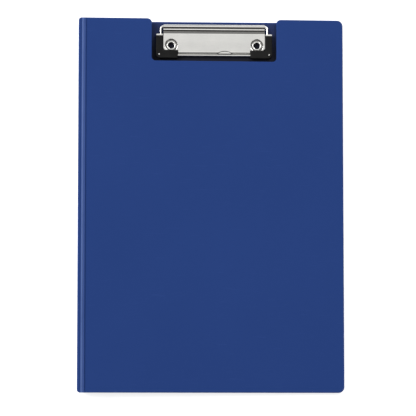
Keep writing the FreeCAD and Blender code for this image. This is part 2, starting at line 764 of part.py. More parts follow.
def build():
    """Make and place every part, and give the list of finished parts."""
    left = "(-(dims.cover_wide - 0.1) / 2)"
    drop = f"(dims.spine_tall - {FRONT_THICK} - {BACK_THICK} - dims.rest_gap)"
    tilt = f"asin({drop} / dims.cover_wide)"

    rear = [back_skin(), back_board(), back_lining()]
    for part in rear:
        place(part, left, "0", "0")

    core_start = "dims.skin_thick"
    lining_start = "dims.skin_thick + dims.front_core_thick"
    front = [
        front_skin(),
        front_sheet("front_board", core_start, "dims.front_core_thick"),
        front_sheet("front_lining", lining_start, "dims.lining_thick"),
        inner_pocket(),
    ]
    for part in front:
        place(part, left, "0", "dims.spine_tall", tilt)

    spine = [
        spine_skin(),
        spine_wall("spine_board", "dims.skin_thick", "dims.spine_core_thick", "dims.weld_rim"),
        spine_wall("spine_lining", "dims.skin_thick + dims.spine_core_thick",
                   "dims.lining_thick", "dims.weld_rim"),
    ]
    for part in spine:
        place(part, left, "0", "0")

    plate = clip_plate()
    bow = wire_bow()
    for part in (plate, bow):
        place(part, *CLIP_PLACE)
    bow_parts = [bow]
    for side, sign in (("left", "-"), ("right", "+")):
        bow_parts.append(corner_grip(f"corner_grip_{side}", sign, bow))
        bow_parts.append(steel_collar(f"grip_collar_{side}", sign, bow))
        bow_parts.append(grip_pin(f"grip_pin_{side}", sign, bow))

    fixings = []
    for name, sign in (("left", "-"), ("right", "+")):
        across = f"(dims.clip_shift {sign} dims.rivet_gap / 2)"
        for part in (hollow_rivet(f"hollow_rivet_{name}"), rivet_washer(f"rivet_washer_{name}")):
            place(part, across, "dims.rivet_line", "0")
            fixings.append(part)
    doc.recompute()
    return rear + front + spine + [plate] + bow_parts + fixings


def check_document():
    """Stop if any object failed or any shape is missing or broken."""
    for item in doc.Objects:
        if "Invalid" in item.State or "Error" in item.State:
            raise RuntimeError(f"{item.Name} failed: {item.State}")


def write_parts(parts):
    os.makedirs("parts", exist_ok=True)
    for part in parts:
        shape = part.Shape
        if shape.isNull() or not shape.isValid():
            raise RuntimeError(f"{part.Label} has no valid shape")
        shape.exportStep(os.path.join("parts", f"{part.Label}.step"))
        print(f"{part.Label}: {shape.Volume:.1f} mm3, {len(shape.Solids)} solid")


parts = build()
check_document()
write_parts(parts)
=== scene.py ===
import json
import math

import bmesh
import bpy
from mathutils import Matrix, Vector


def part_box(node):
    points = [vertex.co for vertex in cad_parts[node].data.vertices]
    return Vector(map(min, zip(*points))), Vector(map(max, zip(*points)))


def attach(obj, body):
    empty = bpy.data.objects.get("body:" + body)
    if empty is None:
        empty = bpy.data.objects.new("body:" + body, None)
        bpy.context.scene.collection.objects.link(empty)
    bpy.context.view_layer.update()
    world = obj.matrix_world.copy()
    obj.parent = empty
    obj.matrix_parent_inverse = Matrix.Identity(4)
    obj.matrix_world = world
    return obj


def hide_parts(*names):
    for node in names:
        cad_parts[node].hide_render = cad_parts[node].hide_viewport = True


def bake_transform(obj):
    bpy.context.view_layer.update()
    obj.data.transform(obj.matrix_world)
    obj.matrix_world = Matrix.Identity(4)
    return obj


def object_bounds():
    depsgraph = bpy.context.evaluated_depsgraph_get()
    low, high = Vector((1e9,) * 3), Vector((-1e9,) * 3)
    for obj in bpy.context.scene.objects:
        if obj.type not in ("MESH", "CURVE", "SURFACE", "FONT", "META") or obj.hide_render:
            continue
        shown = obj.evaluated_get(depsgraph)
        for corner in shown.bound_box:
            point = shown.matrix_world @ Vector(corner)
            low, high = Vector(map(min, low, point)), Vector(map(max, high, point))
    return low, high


# Fold-over clipboard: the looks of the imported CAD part. The frame is in metres, with
# +Z out of the front cover, +Y towards the clip and -X at the spine.

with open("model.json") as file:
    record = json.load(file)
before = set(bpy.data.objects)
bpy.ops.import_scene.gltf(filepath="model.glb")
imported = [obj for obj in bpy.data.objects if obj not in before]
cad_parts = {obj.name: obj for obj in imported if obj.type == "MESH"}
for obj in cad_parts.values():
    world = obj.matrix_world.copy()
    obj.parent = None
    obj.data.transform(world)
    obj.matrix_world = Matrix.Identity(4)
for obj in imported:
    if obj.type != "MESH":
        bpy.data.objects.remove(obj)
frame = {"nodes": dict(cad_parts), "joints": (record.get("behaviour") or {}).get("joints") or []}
cad_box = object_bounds()
nodes = frame["nodes"]
hinges = {joint["name"]: Vector(joint["pos_m"]) for joint in frame["joints"]}

MM = 0.001

# The clip's own origin: midway between the rivets, on the inner face of the board.
plate_low, plate_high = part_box("clip_plate")
rivet_low, rivet_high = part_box("hollow_rivet_left")
CLIP = Vector((
    (plate_low.x + plate_high.x) / 2,
    (rivet_low.y + rivet_high.y) / 2,
    plate_low.z,
))
RIVET_ACROSS = CLIP.x - (rivet_low.x + rivet_high.x) / 2
PLATE_HALF = (plate_high.x - plate_low.x) / 2

# From here to the node helpers, sizes are in millimetres from the clip's own origin:
# across it, along it towards the roll, and up.

# Bent sheet of the plate, from the roll down the slope and over the field to the tongue.
SHEET = 0.5
ROLL_LINE = 16.2
ROLL_HIGH = 2.25
ROLL_MIDDLE = 1.33
ROLL_LIP = math.radians(206)
ROLL_CREASE = 14.9
SLOPE_FOOT = 13.4
SLOPE_TOP = 9.8
VALLEY_RISE = 0.1
FIELD_TOP = 3.3
TONGUE_FRONT = -7.3
TONGUE_FOOT = 0.2
FOOT_BEND = 0.5
TOP_BEND = 0.8
FRONT_BEND = 1.25

# The field sags towards its front by CROWN times the square of the distance past CROWN_LINE.
CROWN = 0.0028
CROWN_LINE = 3.0
FIELD_FROM_HEIGHT = 2.2
FIELD_BACK = 9.0

# Shoulders cut back beside the tongue.
TONGUE_HALF = 30.8
SHOULDER_LINE = -4.35
SHOULDER_ROUND = 2.2

# Round dimple at each rivet.
HOLE = 3.3
DIMPLE_FLOOR = 4.2
DIMPLE_RIM = 5.5
DIMPLE_CREASE = 4.75

# Half-moon gusset over the front bend: part of a disc whose middle lies in front of the tongue.
MOON_AT = 9.1
MOON_HALF = 6.4
MOON_RISE = 2.0
MOON_PROUD = 0.3
MOON_EDGE = 0.25
MOON_FROM_HEIGHT = 1.5
MOON_RADIUS = (MOON_HALF ** 2 + MOON_RISE ** 2) / (2 * MOON_RISE)
MOON_MIDDLE = TONGUE_FRONT + MOON_RISE - MOON_RADIUS

# Hollow rivets, by radius, and the height of their rolled flange.
RIVET_BORE = 2.65
RIVET_BARREL = 2.95
FLANGE_OUT = 4.15
FLANGE_HIGH = 0.5
FLARE_OUT = 4.1

# Wire bow.
WIRE = 1.0
LEG_LINE = 45.8
BAR_LINE = -8.7
SHOULDER_BEND = 2.4
CORNER_BEND = 2.0


# ---------------------------------------------------------------- node helpers

class Finish:
    """A material whose nodes are added one call at a time."""

    def __init__(self, name):
        self.material = bpy.data.materials.new(name)
        self.material.use_nodes = True
        self.tree = self.material.node_tree
        self.shader = self.tree.nodes["Principled BSDF"]
        self.place = self.add("ShaderNodeTexCoord").outputs["Object"]

    def add(self, kind, inputs=None, **settings):
        """New node with its settings, and its inputs given as numbers or as sockets."""
        node = self.tree.nodes.new(kind)
        for name, value in settings.items():
            setattr(node, name, value)
        for name, value in (inputs or {}).items():
            self.feed(node.inputs[name], value)
        return node

    def feed(self, socket, value):
        if isinstance(value, bpy.types.NodeSocket):
            self.tree.links.new(value, socket)
        else:
            socket.default_value = value

    def stretched(self, x, y, z, turn=0.0):
        """Object coordinates scaled by axis, so that a texture runs as streaks."""
        node = self.add("ShaderNodeMapping", {
            "Vector": self.place, "Scale": (x, y, z), "Rotation": (0, 0, turn)})
        return node.outputs["Vector"]

    def noise(self, scale, detail, rough, vector=None):
        node = self.add("ShaderNodeTexNoise", {
            "Vector": vector or self.place, "Scale": scale, "Detail": detail, "Roughness": rough})
        return node.outputs["Fac"]

    def cells(self, scale):
        node = self.add("ShaderNodeTexVoronoi", {"Vector": self.place, "Scale": scale})
        return node.outputs["Distance"]

    def combine(self, kind, first, second):
        """Two numbers or sockets put through one arithmetic operation."""
        node = self.add("ShaderNodeMath", operation=kind)
        self.feed(node.inputs[0], first)
        self.feed(node.inputs[1], second)
        return node.outputs[0]

    def apart(self, value, place):
        """How far a value is from a place, either way."""
        return self.combine("ABSOLUTE", self.combine("SUBTRACT", value, place), 0.0)

    def spread(self, value, low, high, to_low=0.0, to_high=1.0):
        """Value between low and high, carried over to a new range and held at its ends."""
        node = self.add("ShaderNodeMapRange", {
            "Value": value, "From Min": low, "From Max": high,
            "To Min": to_low, "To Max": to_high})
        return node.outputs["Result"]

    def mix(self, share, first, second):
        """Colour between two colours."""
        node = self.add("ShaderNodeMix", data_type="RGBA")
        self.feed(node.inputs["Factor"], share)
        for socket, value in ((node.inputs[6], first), (node.inputs[7], second)):
            self.feed(socket, value)
        return node.outputs[2]

    def bump(self, height, strength, depth, below=None):
        inputs = {"Height": height, "Strength": strength, "Distance": depth}
        if below is not None:
            inputs["Normal"] = below
        return self.add("ShaderNodeBump", inputs).outputs["Normal"]

    def axis(self, name):
        return self.add("ShaderNodeSeparateXYZ", {"Vector": self.place}).outputs[name]

    def out_from(self, middle):
        """Level distance from an upright line through a point."""
        spoke = self.add("ShaderNodeVectorMath", {0: self.place, 1: middle}, operation="SUBTRACT")
        level = self.add("ShaderNodeVectorMath", {0: spoke.outputs[0], 1: (1, 1, 0)},
                         operation="MULTIPLY")
        return self.add("ShaderNodeVectorMath", {0: level.outputs[0]},
                        operation="LENGTH").outputs["Value"]

    def rim(self, half_x, half_y, reach):
        """One at the edge of a centred rectangle, falling to nought at its reach inside."""
        from_x = self.combine("SUBTRACT", half_x, self.combine("ABSOLUTE", self.axis("X"), 0.0))
        from_y = self.combine("SUBTRACT", half_y, self.combine("ABSOLUTE", self.axis("Y"), 0.0))
        nearest = self.combine("MINIMUM", from_x, from_y)
        return self.spread(nearest, 0.0, reach, 1.0, 0.0)

    def whitened_and_lit_ribs(self, fold, ribs):
        """Paler bands on the ribs beside a fold, partly stress-whitening and partly a painted
        highlight, each given by place, reach and strength.
        """
        from_fold = self.combine("SUBTRACT", self.axis("X"), fold)
        bands = 0.0
        for middle, reach, strength in ribs:
            away = self.apart(from_fold, middle)
            band = self.spread(away, 0.3 * reach, reach, strength, 0.0)
            bands = self.combine("MAXIMUM", bands, band)
        patchy = self.spread(self.noise(35.0, 4.0, 0.6), 0.25, 0.6, 0.75, 1.0)
        return self.combine("MULTIPLY", bands, patchy)

    def finish(self, colour, roughness, normal, specular=0.5, metallic=0.0):
        self.feed(self.shader.inputs["Base Color"], colour)
        self.feed(self.shader.inputs["Roughness"], roughness)
        self.feed(self.shader.inputs["Normal"], normal)
        self.shader.inputs["Specular IOR Level"].default_value = specular
        self.shader.inputs["Metallic"].default_value = metallic
        return self.material


def opaque(red, green, blue):
    return (red, green, blue, 1.0)


# ---------------------------------------------------------------- finishes

def blue_foil():
    """Satin foil: faint mottling, a fine pressed grain, hairlines, scuffed rims that carry a
    painted edge highlight, paler ribs with a painted highlight and painted shade in the rivets'
    bores.
    """
    foil = Finish("blue_foil_satin")
    cloud = foil.noise(9.0, 4.0, 0.55)
    grain = foil.noise(1500.0, 4.0, 0.6)
    pores = foil.cells(1700.0)
    lines = foil.noise(60.0, 2.0, 0.4, foil.stretched(1.0, 22.0, 1.0, 0.6))
    scratch = foil.spread(lines, 0.69, 0.73)
    colour = foil.mix(foil.spread(cloud, 0.3, 0.7), opaque(0.0127, 0.0388, 0.166),
                      opaque(0.0141, 0.0416, 0.175))
    colour = foil.mix(foil.spread(grain, 0.3, 0.7, 0.0, 0.25), colour,
                      opaque(0.0175, 0.0485, 0.194))
    low, high = cad_box

    # Painted shade: the foil's glued side, seen at the bottom of the rivets' bores, is painted dark
    # where shade falls in the bores.
    board_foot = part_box("back_board")[0].z
    height = foil.axis("Z")
    bore_floor_shade = foil.combine("MULTIPLY", foil.spread(height, 0.8 * board_foot, 0.9 * board_foot),
                         foil.spread(height, 1.1 * board_foot, 1.2 * board_foot, 1.0, 0.0))
    off_rim = foil.spread(foil.rim(high[0], high[1], 8 * MM), 0.0, 0.1, 1.0, 0.0)
    colour = foil.mix(foil.combine("MULTIPLY", bore_floor_shade, off_rim), colour, opaque(0.008, 0.009, 0.016))

    # Scuffed rims: rougher and paler, and the paler colour is also a painted edge highlight.
    rim = foil.rim(high[0], high[1], 1.3 * MM)
    patchy = foil.spread(foil.noise(240.0, 3.0, 0.6), 0.42, 0.66)
    worn_rim_and_highlight = foil.combine("MULTIPLY", rim, patchy)
    colour = foil.mix(foil.combine("MULTIPLY", worn_rim_and_highlight, 0.35), colour, opaque(0.055, 0.11, 0.32))
    colour = foil.mix(foil.combine("MULTIPLY", scratch, 0.12), colour, opaque(0.05, 0.10, 0.30))
    # Paler bands on the ribs by the spine: stress-whitening and a painted highlight.
    ribs_whitened_and_lit = foil.whitened_and_lit_ribs(low[0], [(3.8 * MM, 1.3 * MM, 0.66), (5.4 * MM, 0.9 * MM, 0.22)])
    colour = foil.mix(ribs_whitened_and_lit, colour, opaque(0.125, 0.19, 0.43))
    roughness = foil.spread(foil.noise(130.0, 4.0, 0.6), 0.25, 0.75, 0.43, 0.53)
    roughness = foil.combine("ADD", roughness, foil.combine("MULTIPLY", worn_rim_and_highlight, 0.12))
    normal = foil.bump(pores, 0.22, 0.03 * MM)
    normal = foil.bump(grain, 0.25, 0.03 * MM, normal)
    normal = foil.bump(scratch, 0.2, 0.02 * MM, normal)
    return foil.finish(colour, roughness, normal, specular=0.08)


def dark_foil():
    """Navy lining: a cloth-like pressed grain, with a painted bluish sheen at the rear cover's end
    by the clip.
    """
    foil = Finish("dark_foil_grained")
    cloud = foil.noise(14.0, 4.0, 0.6)
    fine = foil.noise(1900.0, 3.0, 0.6)
    threads = [foil.add("ShaderNodeTexWave", {
        "Vector": foil.place, "Scale": 420.0, "Distortion": 1.2, "Detail": 1.0,
        "Detail Scale": 3.0}, bands_direction=way).outputs["Fac"] for way in ("X", "Y")]
    weave = foil.combine("MULTIPLY", *threads)
    colour = foil.mix(foil.spread(cloud, 0.3, 0.7), opaque(0.0085, 0.0085, 0.014),
                      opaque(0.0100, 0.0105, 0.018))
    # Painted sheen: the lining is painted bluer towards the rear cover's end, near the clip and low
    # on the rear cover.
    end = foil.spread(foil.axis("Y"), 132 * MM, 157 * MM)
    from_clip = foil.apart(foil.axis("X"), CLIP.x)
    end = foil.combine("MULTIPLY", end, foil.spread(from_clip, 52 * MM, 72 * MM, 1.0, 0.0))
    end = foil.combine("MULTIPLY", end, foil.spread(foil.axis("Z"), 4 * MM, 5 * MM, 1.0, 0.0))
    colour = foil.mix(end, colour, opaque(0.0175, 0.031, 0.104))
    colour = foil.mix(foil.spread(fine, 0.35, 0.7, 0.0, 0.2), colour, opaque(0.028, 0.034, 0.064))
    roughness = foil.spread(foil.noise(170.0, 3.0, 0.5), 0.25, 0.75, 0.50, 0.62)
    normal = foil.bump(weave, 0.35, 0.05 * MM)
    normal = foil.bump(fine, 0.2, 0.03 * MM, normal)
    return foil.finish(colour, roughness, normal, specular=0.08)


def greyboard():
    """Raw recycled board, with fibres and flecks."""
    board = Finish("greyboard_raw")
    cloud = board.noise(30.0, 5.0, 0.6)
    fibre = board.noise(900.0, 4.0, 0.7, board.stretched(1.0, 5.0, 1.0, 0.3))
    fleck = board.spread(board.cells(420.0), 0.0, 0.16, 1.0, 0.0)
    colour = board.mix(cloud, opaque(0.30, 0.285, 0.26), opaque(0.40, 0.38, 0.35))
    colour = board.mix(board.combine("MULTIPLY", fleck, 0.6), colour, opaque(0.12, 0.11, 0.10))
    colour = board.mix(board.spread(fibre, 0.4, 0.8, 0.0, 0.5), colour, opaque(0.52, 0.50, 0.46))
    roughness = board.spread(cloud, 0.2, 0.8, 0.82, 0.95)
    return board.finish(colour, roughness, board.bump(fibre, 0.5, 0.1 * MM), specular=0.2)


def clear_foil():
    """Clear pocket film with a ribbed weld band along three of its edges."""
    film = Finish("clear_film")
    low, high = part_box("inner_pocket")
    middle_x = (low.x + high.x) / 2
    across = film.apart(film.axis("X"), middle_x)
    from_side = film.combine("SUBTRACT", (high.x - low.x) / 2, across)
    from_foot = film.combine("SUBTRACT", film.axis("Y"), low.y)
    nearest = film.combine("MINIMUM", from_side, from_foot)
    band = film.spread(nearest, 2.2 * MM, 2.6 * MM, 1.0, 0.0)
    ribs = film.add("ShaderNodeTexWave", {
        "Vector": film.place, "Scale": 260.0}, bands_direction="DIAGONAL").outputs["Fac"]
    welded = film.combine("MULTIPLY", band, ribs)
    sag = film.noise(22.0, 2.0, 0.4)
    colour = film.mix(welded, opaque(0.62, 0.68, 0.78), opaque(0.80, 0.85, 0.92))
    roughness = film.spread(film.noise(160.0, 3.0, 0.5), 0.3, 0.7, 0.10, 0.20)
    roughness = film.combine("ADD", roughness, film.combine("MULTIPLY", band, 0.25))
    normal = film.bump(sag, 0.5, 0.8 * MM)
    normal = film.bump(welded, 0.5, 0.12 * MM, normal)
    film.feed(film.shader.inputs["Alpha"], film.spread(band, 0.0, 1.0, 0.16, 0.34))
    return film.finish(colour, roughness, normal, specular=0.5)


def plated_steel(name, streaks, shine, crease=None, rings=()):
    """Bright nickel plate: drawn streaks, faint clouding and a few handling marks.

    Its creases carry painted shade as dark lines: a straight one, given by its place in Y,
    and round ones, each given by its middle, radius, half-width and depth of colour.
    """
    steel = Finish(name)
    drawn = steel.noise(1.0, 3.0, 0.6, steel.stretched(*streaks))
    cloud = steel.noise(55.0, 4.0, 0.6)
    rub = steel.noise(70.0, 2.0, 0.5, steel.stretched(1.0, 14.0, 1.0, -0.9))
    mark = steel.spread(rub, 0.68, 0.72)
    colour = steel.mix(steel.spread(cloud, 0.3, 0.7), opaque(0.80, 0.795, 0.78),
                       opaque(0.86, 0.85, 0.83))
    colour = steel.mix(steel.spread(drawn, 0.45, 0.75, 0.0, 0.22), colour, opaque(0.70, 0.69, 0.67))
    if crease is not None:
        # Painted shade: dark lines painted along the given creases, where shade falls.
        off_line = steel.apart(steel.axis("Y"), crease)
        painted_crease_shade = steel.spread(off_line, 0.3 * MM, 0.5 * MM, 0.92, 0.0)
        for middle, radius, reach, depth in rings:
            off_ring = steel.apart(steel.out_from(middle), radius)
            ring = steel.spread(off_ring, 0.4 * reach, reach, depth, 0.0)
            painted_crease_shade = steel.combine("MAXIMUM", painted_crease_shade, ring)
        colour = steel.mix(painted_crease_shade, colour, opaque(0.03, 0.028, 0.026))
    low, high = shine
    roughness = steel.spread(drawn, 0.3, 0.7, low, high)
    roughness = steel.combine("ADD", roughness, steel.combine("MULTIPLY", mark, 0.08))
    roughness = steel.combine("ADD", roughness, steel.spread(cloud, 0.3, 0.7, 0.0, 0.04))
    normal = steel.bump(drawn, 0.10, 0.01 * MM)
    normal = steel.bump(steel.noise(400.0, 2.0, 0.5), 0.06, 0.02 * MM, normal)
    return steel.finish(colour, roughness, normal, metallic=1.0)


def black_rubber():
    """Satin moulded black, with a spark-eroded grain and rubbed patches."""
    rubber = Finish("black_moulded")
    cloud = rubber.noise(120.0, 4.0, 0.6)
    grain = rubber.noise(2600.0, 3.0, 0.6)
    pores = rubber.cells(2300.0)
    colour = rubber.mix(rubber.spread(cloud, 0.35, 0.65), opaque(0.0032, 0.0032, 0.0036),
                        opaque(0.0060, 0.0058, 0.0057))
    colour = rubber.mix(rubber.spread(grain, 0.45, 0.75, 0.0, 0.3), colour,
                        opaque(0.0125, 0.012, 0.0115))
    roughness = rubber.spread(cloud, 0.3, 0.7, 0.34, 0.5)
    normal = rubber.bump(pores, 0.35, 0.04 * MM)
    normal = rubber.bump(grain, 0.3, 0.03 * MM, normal)
    return rubber.finish(colour, roughness, normal, specular=0.13)


BLUE = blue_foil()
NAVY = dark_foil()
BOARD = greyboard()
FILM = clear_foil()
# The sheet's steel carries painted shade in the roll's crease, round each rivet's dimple and round
# the half-moon.
PLATE_STEEL = plated_steel(
    "steel_sheet_nickel", (60.0, 3000.0, 3000.0), (0.06, 0.11),
    crease=CLIP.y + ROLL_CREASE * MM,
    rings=[((CLIP.x + MOON_AT * MM, CLIP.y + MOON_MIDDLE * MM, 0), MOON_RADIUS * MM, 0.5 * MM, 0.9),
           ((CLIP.x - RIVET_ACROSS, CLIP.y, 0), DIMPLE_CREASE * MM, 0.6 * MM, 0.85),
           ((CLIP.x + RIVET_ACROSS, CLIP.y, 0), DIMPLE_CREASE * MM, 0.6 * MM, 0.85)])
WIRE_STEEL = plated_steel("steel_wire_nickel", (900.0, 900.0, 900.0), (0.08, 0.14))
TURNED_STEEL = plated_steel("steel_rivet_nickel", (1400.0, 1400.0, 5000.0), (0.06, 0.12))
BLACK = black_rubber()

FINISH_OF_SLOT = {
    "blue_foil": BLUE,
    "dark_foil": NAVY,
    "greyboard": BOARD,
    "clear_foil": FILM,
    "plated_steel": TURNED_STEEL,
    "black_rubber": BLACK,
}
for node in nodes.values():
    for place in node.material_slots:
        place.material = FINISH_OF_SLOT[place.material.name.split(".")[0]]


# ---------------------------------------------------------------- mesh helpers

def rounded_path(corners, radii, closed=False):
    """Points along straight runs whose corners are arcs of the given radii."""
    turn_step = math.radians(7)
    count = len(corners)
    path = []
    for index, (corner, radius) in enumerate(zip(corners, radii)):
        corner = Vector(corner)
        if not closed and index in (0, count - 1):
            path.append(corner)
            continue
        before = (corner - Vector(corners[index - 1])).normalized()
        after = (Vector(corners[(index + 1) % count]) - corner).normalized()
        turn = before.angle(after)
        reach = radius * math.tan(turn / 2)
        side = 1 if before.x * after.y - before.y * after.x > 0 else -1
        start = corner - before * reach
        inward = Vector((-before.y, before.x)) * side
        centre = start + inward * radius
        steps = max(3, math.ceil(turn / turn_step))
        for step in range(steps + 1):
            angle = side * turn * step / steps
            spoke = -inward * radius
            path.append(centre + Vector((
                spoke.x * math.cos(angle) - spoke.y * math.sin(angle),
                spoke.x * math.sin(angle) + spoke.y * math.cos(angle),
            )))
    return path


def divided(path, step):
    """The path with its long runs divided into steps of at most this length."""
    dense = [path[0]]
    for start, end in zip(path, path[1:]):
        parts = max(1, math.ceil((end - start).length / step))
        dense += [start.lerp(end, part / parts) for part in range(1, parts + 1)]
    return dense


def mesh_piece(name, points, faces, material, body=None):
    """Smooth-shaded object from points in metres, which rides on the body if one is given."""
    mesh = bpy.data.meshes.new(name)
    mesh.from_pydata(points, [], faces)
    work = bmesh.new()
    work.from_mesh(mesh)
    bmesh.ops.recalc_face_normals(work, faces=work.faces)
    for face in work.faces:
        face.smooth = True
    for edge in work.edges:
        edge.smooth = len(edge.link_faces) != 2 or edge.calc_face_angle(0.0) < math.radians(38)
    work.to_mesh(mesh)
    work.free()
    mesh.materials.append(material)
    piece = bpy.data.objects.new(name, mesh)
    bpy.context.scene.collection.objects.link(piece)
    if body:
        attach(piece, body)
    return piece


def layered_sheet(top, bottom, kept):
    """Points and faces of a sheet from two grids, joined along the edge of its kept cells."""
    rows, columns = len(top), len(top[0])
    points = [point for grid in (top, bottom) for row in grid for point in row]
    offset = rows * columns

    faces = []
    border = {}
    for row in range(rows - 1):
        for column in range(columns - 1):
            if not kept(row, column):
                continue
            near = row * columns + column
            ring = [near, near + 1, near + columns + 1, near + columns]
            faces.append(ring)
            faces.append([offset + corner for corner in reversed(ring)])
            for start, end in zip(ring, ring[1:] + ring[:1]):
                if (end, start) in border:
                    del border[(end, start)]
                else:
                    border[(start, end)] = True
    faces += [[end, start, offset + start, offset + end] for start, end in border]
    used = sorted({corner for face in faces for corner in face})
    renumbered = {corner: number for number, corner in enumerate(used)}
    return ([points[corner] for corner in used],
            [[renumbered[corner] for corner in face] for face in faces])


def lathe(profile, centre, segments=72):
    """Points and faces of a closed (radius, height) profile turned about an upright axis."""
    points, faces = [], []
    size = len(profile)
    for segment in range(segments):
        angle = 2 * math.pi * segment / segments
        for radius, height in profile:
            points.append((centre.x + radius * math.cos(angle),
                           centre.y + radius * math.sin(angle), height))
    for segment in range(segments):
        near = segment * size
        far = (segment + 1) % segments * size
        for index in range(size):
            following = (index + 1) % size
            faces.append([near + index, near + following, far + following, far + index])
    return points, faces


def smoothstep(low, high, value):
    share = min(1.0, max(0.0, (value - low) / (high - low)))
    return share * share * (3 - 2 * share)


# ---------------------------------------------------------------- clip plate

def plate_profile():
    """Mid-line of the bent sheet, from the lip of the roll to the foot of the tongue."""
    roll = []
    turn = ROLL_LIP + math.pi / 2
    steps = 44
    for step in range(steps + 1):
        angle = ROLL_LIP - turn * step / steps
        roll.append(Vector((ROLL_LINE + ROLL_MIDDLE * math.cos(angle),
                            ROLL_HIGH + ROLL_MIDDLE * math.sin(angle))))
    valley = ROLL_HIGH - ROLL_MIDDLE
    field = FIELD_TOP - SHEET / 2
    front = TONGUE_FRONT + SHEET / 2
    corners = [(ROLL_LINE, valley), (SLOPE_FOOT, valley + VALLEY_RISE), (SLOPE_TOP, field),
               (front, field), (front, TONGUE_FOOT)]
    bent = rounded_path(corners, [0, FOOT_BEND, TOP_BEND, FRONT_BEND, 0])
    return roll[:-1] + divided(bent, 0.3)


def plate_columns():
    """Places across the plate, close together where it is pressed."""
    dimple_reach = DIMPLE_RIM + 1.5
    moon_reach = MOON_HALF + 1.0
    pressed = [(-RIVET_ACROSS / MM, dimple_reach, 0.25), (RIVET_ACROSS / MM, dimple_reach, 0.25),
               (MOON_AT, moon_reach, 0.4)]
    half = PLATE_HALF / MM
    marks = {-half, half, -TONGUE_HALF, TONGUE_HALF}
    for middle, reach, step in pressed:
        low, high = max(-half, middle - reach), min(half, middle + reach)
        steps = round((high - low) / step)
        marks |= {low + (high - low) * part / steps for part in range(steps + 1)}
    outermost, coarse = 42, 2
    for place in range(-outermost, outermost + 1, coarse):
        if all(abs(place - middle) > reach for middle, reach, _ in pressed):
            marks.add(float(place))
    columns = []
    for mark in sorted(marks):
        if not columns or mark - columns[-1] > 0.05:
            columns.append(mark)
    return columns


def dish(across, along, set_out):
    """How far the sheet is pressed down at a point, as a share of the full depth."""
    nearest = min(math.hypot(across - side * RIVET_ACROSS / MM, along) for side in (-1, 1))
    return 1 - smoothstep(DIMPLE_FLOOR + set_out, DIMPLE_RIM + set_out, nearest)


def moon(across, along):
    """Share of the half-moon gusset's full height at a point by the tongue's bend."""
    inside = MOON_RADIUS - math.hypot(across - MOON_AT, along - MOON_MIDDLE)
    return smoothstep(0.0, MOON_EDGE, inside)


def round_shoulder(across, along):
    """Draw the square outer corner of a shoulder in to an arc."""
    corner_x = PLATE_HALF / MM - SHOULDER_ROUND
    corner_y = SHOULDER_LINE + SHOULDER_ROUND
    out_x = abs(across) - corner_x
    out_y = corner_y - along
    if out_x <= 0 or out_y <= 0:
        return across, along
    square = max(out_x, out_y)
    shrink = square / math.hypot(out_x, out_y)
    return (math.copysign(corner_x + out_x * shrink, across), corner_y - out_y * shrink)


def build_plate():
    """Pressed steel plate, dished round each rivet and rolled round the wire."""
    profile = plate_profile()
    columns = plate_columns()
    front_rows = range(len(profile) // 2 + 1, len(profile))
    shoulder_row = min(front_rows, key=lambda row: abs(profile[row].x - SHOULDER_LINE))
    profile[shoulder_row].x = SHOULDER_LINE
    top, bottom = [], []
    for row, at in enumerate(profile):
        ahead = profile[min(row + 1, len(profile) - 1)]
        behind = profile[max(row - 1, 0)]
        run = (ahead - behind).normalized()
        normal = Vector((-run.y, run.x))
        sides = {}
        for sign, set_out in ((1, 0.0), (-1, SHEET / 2)):
            points = []
            spot = at - normal * sign * SHEET / 2
            for across in columns:
                x, y, z = across, spot.x, spot.y
                on_field = z > FIELD_FROM_HEIGHT and y < FIELD_BACK
                if on_field and row <= shoulder_row:
                    x, y = round_shoulder(across, y) if abs(across) > TONGUE_HALF else (across, y)
                if on_field:
                    z -= CROWN * max(0.0, CROWN_LINE - y) ** 2
                    z -= (FIELD_TOP - SHEET) * dish(x, y, set_out)
                if z > MOON_FROM_HEIGHT and y < SHOULDER_LINE:
                    level = FIELD_TOP + MOON_PROUD - (0.0 if sign > 0 else SHEET)
                    z += max(0.0, level - z) * moon(x, y)
                points.append(CLIP + Vector((x, y, z)) * MM)
            sides[sign] = points
        top.append(sides[1])
        bottom.append(sides[-1])

    def kept(row, column):
        across = (columns[column] + columns[column + 1]) / 2
        along = (profile[row].x + profile[row + 1].x) / 2
        if row >= shoulder_row and abs(across) > TONGUE_HALF:
            return False
        on_field = profile[row].y > FIELD_FROM_HEIGHT + SHEET / 2 and along < FIELD_BACK
        if not on_field:
            return True
        nearest = min(math.hypot(across - side * RIVET_ACROSS / MM, along) for side in (-1, 1))
        return nearest > HOLE

    points, faces = layered_sheet(top, bottom, kept)
    piece = mesh_piece("clip_plate_pressed", points, faces, PLATE_STEEL,
                       "rear_cover")
    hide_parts("clip_plate")


# ---------------------------------------------------------------- rivets

def build_rivet(side):
    """Hollow eyelet: rolled flange, drawn barrel and the flare behind the board."""
    node = f"hollow_rivet_{side}"
    low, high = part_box(node)
    centre = (low + high) / 2
    foot, crest = low.z / MM, high.z / MM
    seat = crest - FLANGE_HIGH
    crown = RIVET_BORE + FLANGE_HIGH
    profile = [(RIVET_BORE, foot + 0.4), (RIVET_BORE, seat - 0.3)]
    steps = 14
    for step in range(steps + 1):
        angle = math.pi * step / steps
        reach = crown - RIVET_BORE if angle < math.pi / 2 else FLANGE_OUT - crown
        profile.append((crown - reach * math.cos(angle), seat + FLANGE_HIGH * math.sin(angle)))
    profile += [(FLANGE_OUT - 0.1, seat), (RIVET_BARREL, seat), (RIVET_BARREL, foot + 0.5)]
    flare = [(RIVET_BARREL + 0.15, 0.35), (FLARE_OUT - 0.15, 0.33), (FLARE_OUT, 0.18),
             (FLARE_OUT - 0.15, 0), (RIVET_BARREL, 0), (RIVET_BORE + 0.1, 0.12)]
    profile += [(radius, foot + height) for radius, height in flare]
    points, faces = lathe([(radius * MM, height * MM) for radius, height in profile], centre)
    piece = mesh_piece(f"{node}_rolled", points, faces, TURNED_STEEL, "rear_cover")
    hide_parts(node)


# ---------------------------------------------------------------- wire bow

